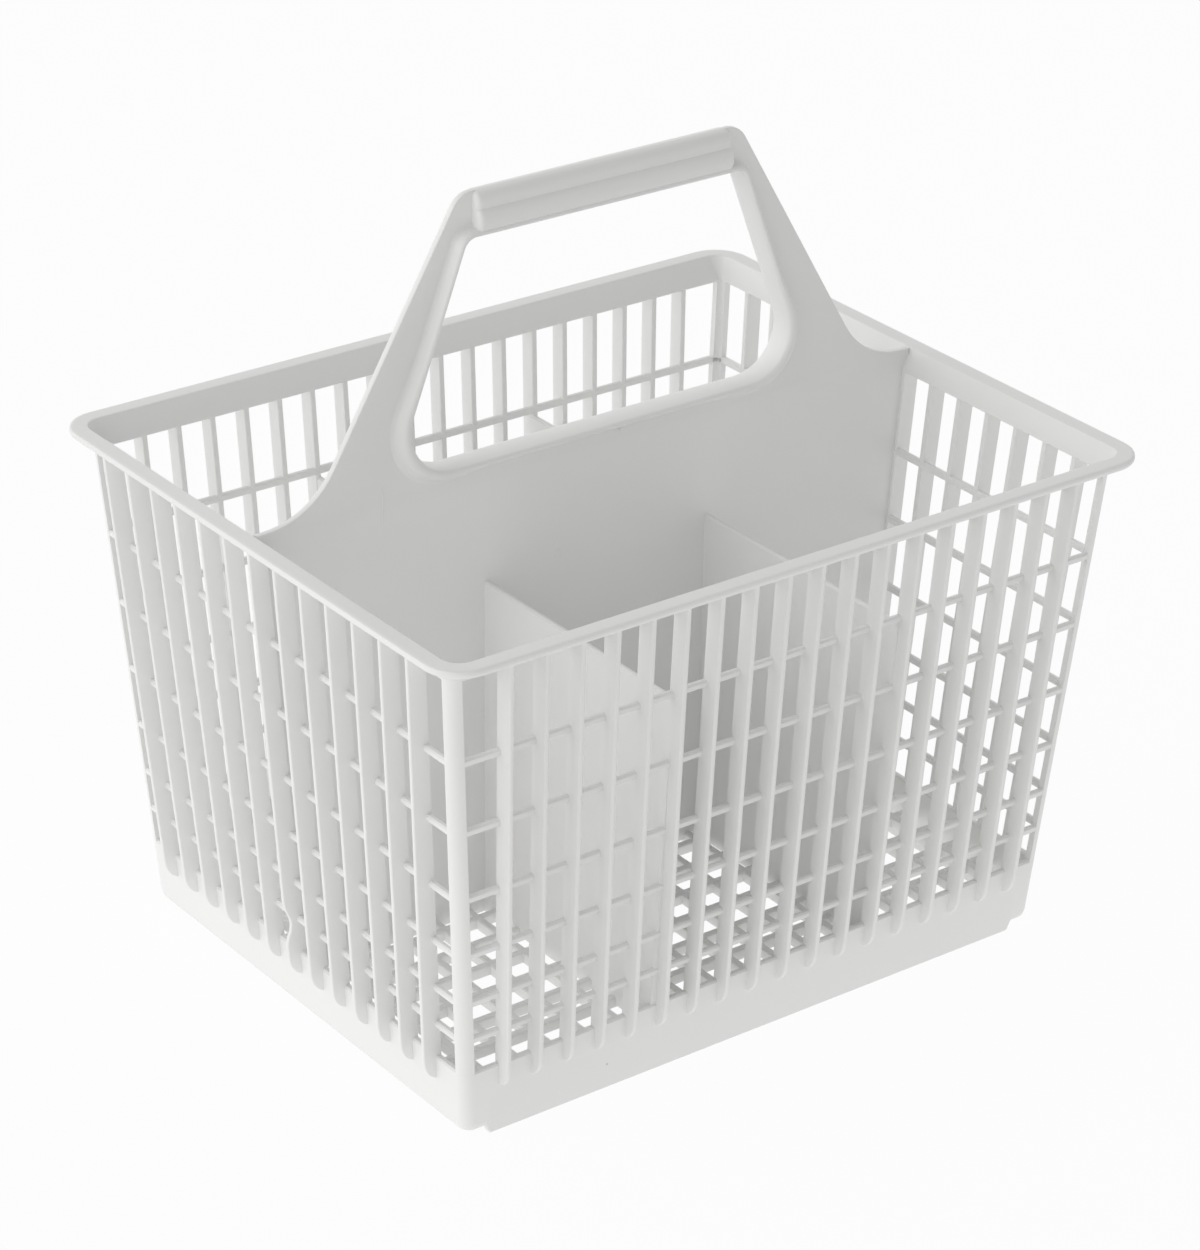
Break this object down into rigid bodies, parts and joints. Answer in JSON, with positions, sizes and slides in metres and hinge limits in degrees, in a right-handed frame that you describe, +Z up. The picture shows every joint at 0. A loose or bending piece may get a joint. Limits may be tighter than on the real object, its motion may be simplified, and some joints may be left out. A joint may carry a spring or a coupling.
{
  "type": "dishwasher cutlery basket",
  "caption": "Open-topped tapered lattice basket in white plastic, with a grid floor, a middle partition with dividers and a raised carrying handle, to hold cutlery in a dishwasher.",
  "frame": {"origin": "on the standing plane, under the middle of the basket", "axes": "+X along the long walls and the handle, +Y from the front long wall to the back one, +Z up out of the open top"},
  "size_m": [0.24, 0.1944, 0.2375],
  "materials": {
    "white_plastic": "fine satin moulded"
  },
  "bodies": {
    "root": {"cutlery_basket": "white_plastic"}
  },
  "joints": []
}
